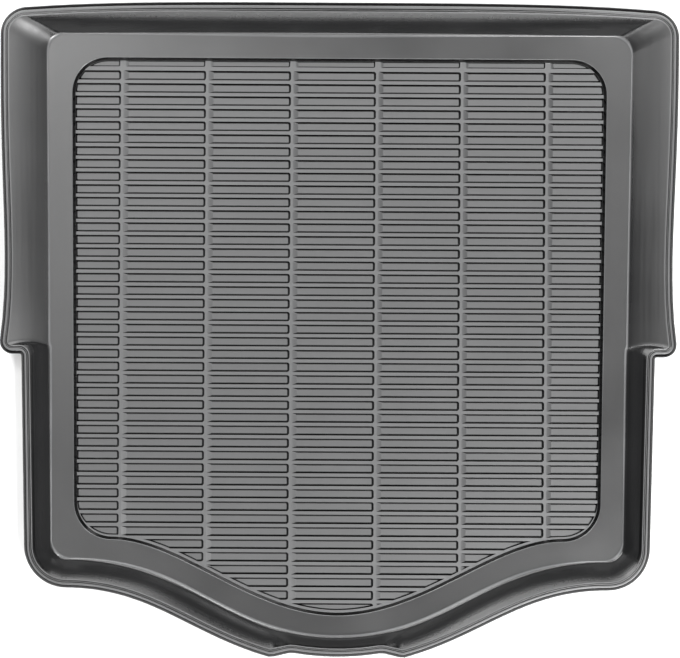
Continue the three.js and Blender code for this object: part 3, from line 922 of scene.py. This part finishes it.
def finished_tray():
    cutter = shell.modifiers.new("moulded_panel", "NODES")
    cutter.node_group = panel_tree
    for socket in panel_tree.interface.items_tree:
        if socket.in_out == "INPUT" and socket.name in inputs:
            cutter[socket.identifier] = inputs[socket.name]
    shell.modifiers.new("even_normals", "WEIGHTED_NORMAL").keep_sharp = True
    graph = bpy.context.evaluated_depsgraph_get()
    seen = shell.evaluated_get(graph)
    made = bpy.data.meshes.new_from_object(seen, preserve_all_data_layers=True, depsgraph=graph)
    made.name = "liner_tray"
    made.materials.clear()
    made.materials.append(plastic)
    made.polygons.foreach_set("material_index", [0] * len(made.polygons))
    return new_object("liner_tray", made)


tray = finished_tray()
for used in (shell, pocket, area, row_channel, column_channel, under_area):
    bpy.data.objects.remove(used)
tray.data.calc_loop_triangles()
print("triangles in the tray:", len(tray.data.loop_triangles))

# %% How steep each face is
LIP_BOTTOM, LIP_LEAN = 36.0 * MM, 0.3


def note_steepness(mesh):
    """Writes how steep each face is, from 0 to 1. The lip's outer side counts as upright."""
    count = len(mesh.polygons)
    normals, middles = np.empty(3 * count), np.empty(3 * count)
    mesh.polygons.foreach_get("normal", normals)
    mesh.polygons.foreach_get("center", middles)
    normals, middles = normals.reshape(count, 3), middles.reshape(count, 3)
    lean = np.degrees(np.arccos(np.clip(np.abs(normals[:, 2]), 0, 1))) / 90
    facing_out = (normals[:, :2] * middles[:, :2]).sum(axis=1) > 0
    # The lip's outer side counts as upright, so the painted shade of steep places covers it too.
    lean[facing_out & (middles[:, 2] > LIP_BOTTOM) & (lean > LIP_LEAN)] = 1
    mesh.attributes.new("steepness", "FLOAT", "FACE").data.foreach_set("value", lean)
    print("share of steep faces:", round(float((lean > 0.5).mean()), 2))


note_steepness(tray.data)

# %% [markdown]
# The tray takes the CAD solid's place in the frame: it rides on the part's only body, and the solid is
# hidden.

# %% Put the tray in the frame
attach(tray, "root")
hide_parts("liner")

# %% [markdown]
# The studio is a white floor in a dark room, under soft lamps. Square panels hang from the ceiling, and
# each shows as a soft reflection on the faces that lean its way: those over the rear light the front
# wall, and those over the right light the left wall. Four wide boxes stand round the floor and light the
# bends. Between them it is dark, and that draws the dark lines round the pockets and the lip. One big
# lamp would be simpler, but it would give all the walls one grey, and the real walls differ. The watts
# were set so that the greys come near the real ones.


# %% Floor
FLOOR_HALF, FLOOR_WHITE, FLOOR_ROUGH = 4, 0.46, 0.9


def make_floor():
    half = FLOOR_HALF
    corners = [(-half, -half, 0), (half, -half, 0), (half, half, 0), (-half, half, 0)]
    floor = new_object("studio_floor", mesh_from("studio_floor", corners, [(0, 1, 2, 3)]))
    material = bpy.data.materials.new("studio_white")
    material.use_nodes = True
    shader = material.node_tree.nodes["Principled BSDF"]
    shader.inputs["Base Color"].default_value = (FLOOR_WHITE, FLOOR_WHITE, FLOOR_WHITE, 1)
    shader.inputs["Roughness"].default_value = FLOOR_ROUGH
    floor.data.materials.append(material)


make_floor()

# %% Lamps
PANEL_SIZE, CEILING_HEIGHT = 0.8, 3.2
CEILING = [  # name, metres to the right and to the rear, and watts
    ("rear_left", -1.2, 2.0, 85),
    ("rear_right", 1.2, 2.0, 140),
    ("rear_far_right", 2.0, 2.0, 45),
    ("left_rear", -1.2, 1.2, 28),
    ("left_middle", -1.2, 0, 10),
    ("left_front", -1.2, -1.2, 15),
    ("middle_left", -0.4, 0.4, 17),
    ("middle_right", 1.2, 0.4, 11),
    ("right_front", 2.0, -1.2, 55),
    ("front_left", -1.2, -2.0, 65),
    ("front_right", 1.2, -2.0, 205),
    ("front_far_right", 2.0, -2.0, 180),
]
SIDE_DISTANCE, SIDE_HEIGHT, SIDE_SIZE = 3.2, 1.7, (2.4, 1.2)
SIDES = [  # name, degrees clockwise from the rear, and watts
    ("rear", 0, 82),
    ("right", 90, 15),
    ("front", 180, 80),
    ("rear_left", 315, 140),
]


def make_lamp(name, place, size, aim, power):
    data = bpy.data.lights.new(name, "AREA")
    data.shape = "RECTANGLE"
    data.size, data.size_y = size
    data.energy = power
    lamp = bpy.data.objects.new(name, data)
    lamp.location = place
    lamp.rotation_mode = "QUATERNION"
    lamp.rotation_quaternion = (Vector(place) - Vector(aim)).to_track_quat("Z", "Y")
    bpy.context.scene.collection.objects.link(lamp)


for name, x, y, power in CEILING:
    make_lamp("ceiling_" + name, (x, y, CEILING_HEIGHT), (PANEL_SIZE, PANEL_SIZE), (x, y, 0), power)
for name, turn, power in SIDES:
    x, y = SIDE_DISTANCE * math.sin(math.radians(turn)), SIDE_DISTANCE * math.cos(math.radians(turn))
    make_lamp("side_" + name, (x, y, SIDE_HEIGHT), SIDE_SIZE, (0, 0, SIDE_HEIGHT), power)
print("lamps:", len(bpy.data.lights))

# %% The dark room
world = bpy.data.worlds.new("dark_room")
world.use_nodes = True
world.node_tree.nodes["Background"].inputs["Strength"].default_value = 0
bpy.context.scene.world = world
bpy.context.scene.view_settings.view_transform = "Standard"
